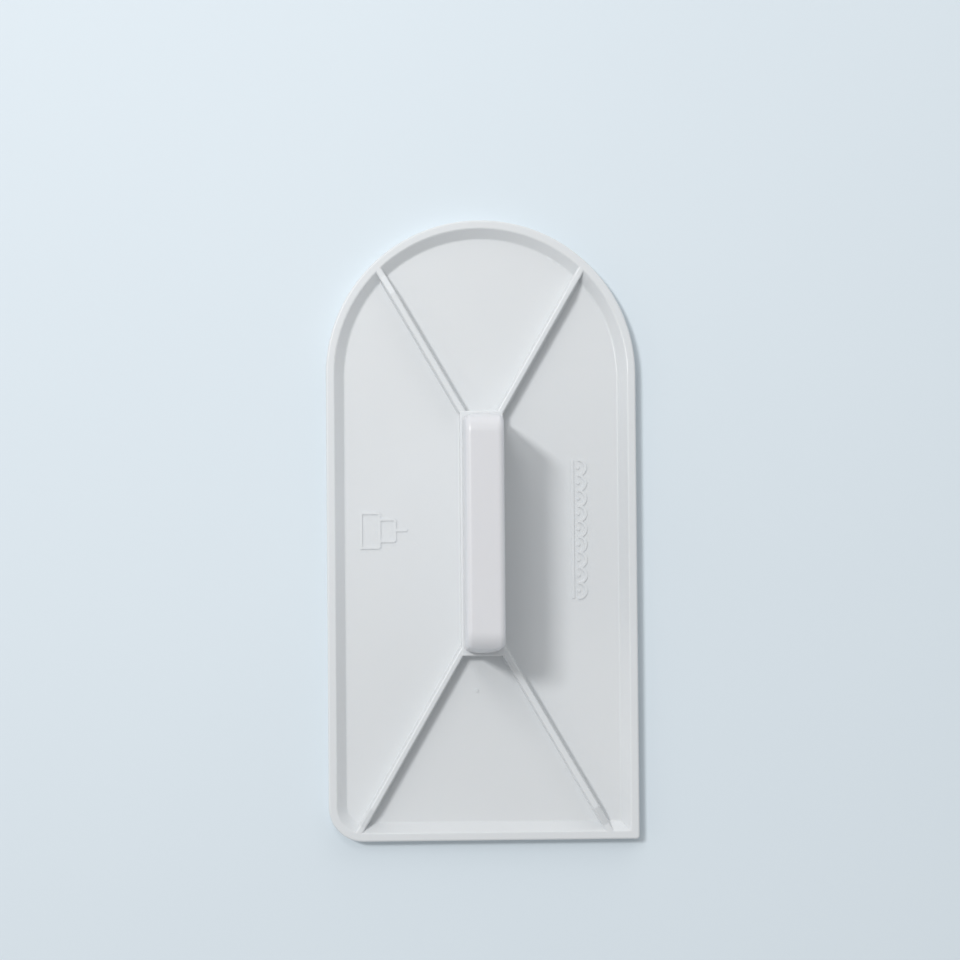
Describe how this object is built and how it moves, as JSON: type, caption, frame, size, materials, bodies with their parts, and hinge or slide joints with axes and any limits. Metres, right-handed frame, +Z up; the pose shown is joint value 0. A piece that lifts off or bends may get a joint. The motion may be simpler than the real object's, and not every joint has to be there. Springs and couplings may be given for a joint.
{
  "type": "icing smoother",
  "caption": "D-shaped plastic smoothing plate with a raised rim, diagonal ribs and a narrow upright handle, for polishing cake icing flat.",
  "frame": {"origin": "middle of the work face", "axes": "+Z up the handle, away from the work face; +Y towards the round end; +X to the right, on the side with the square corner"},
  "size_m": [0.075, 0.15, 0.032],
  "materials": {
    "plate": "glossy white moulded plastic with a polished work face",
    "handle": "satin to glossy white moulded plastic",
    "cement": "set solvent cement, milky"
  },
  "bodies": {
    "root": {"smoothing_plate": "plate", "handle_shell": "handle", "cement_line": "cement"}
  },
  "joints": []
}
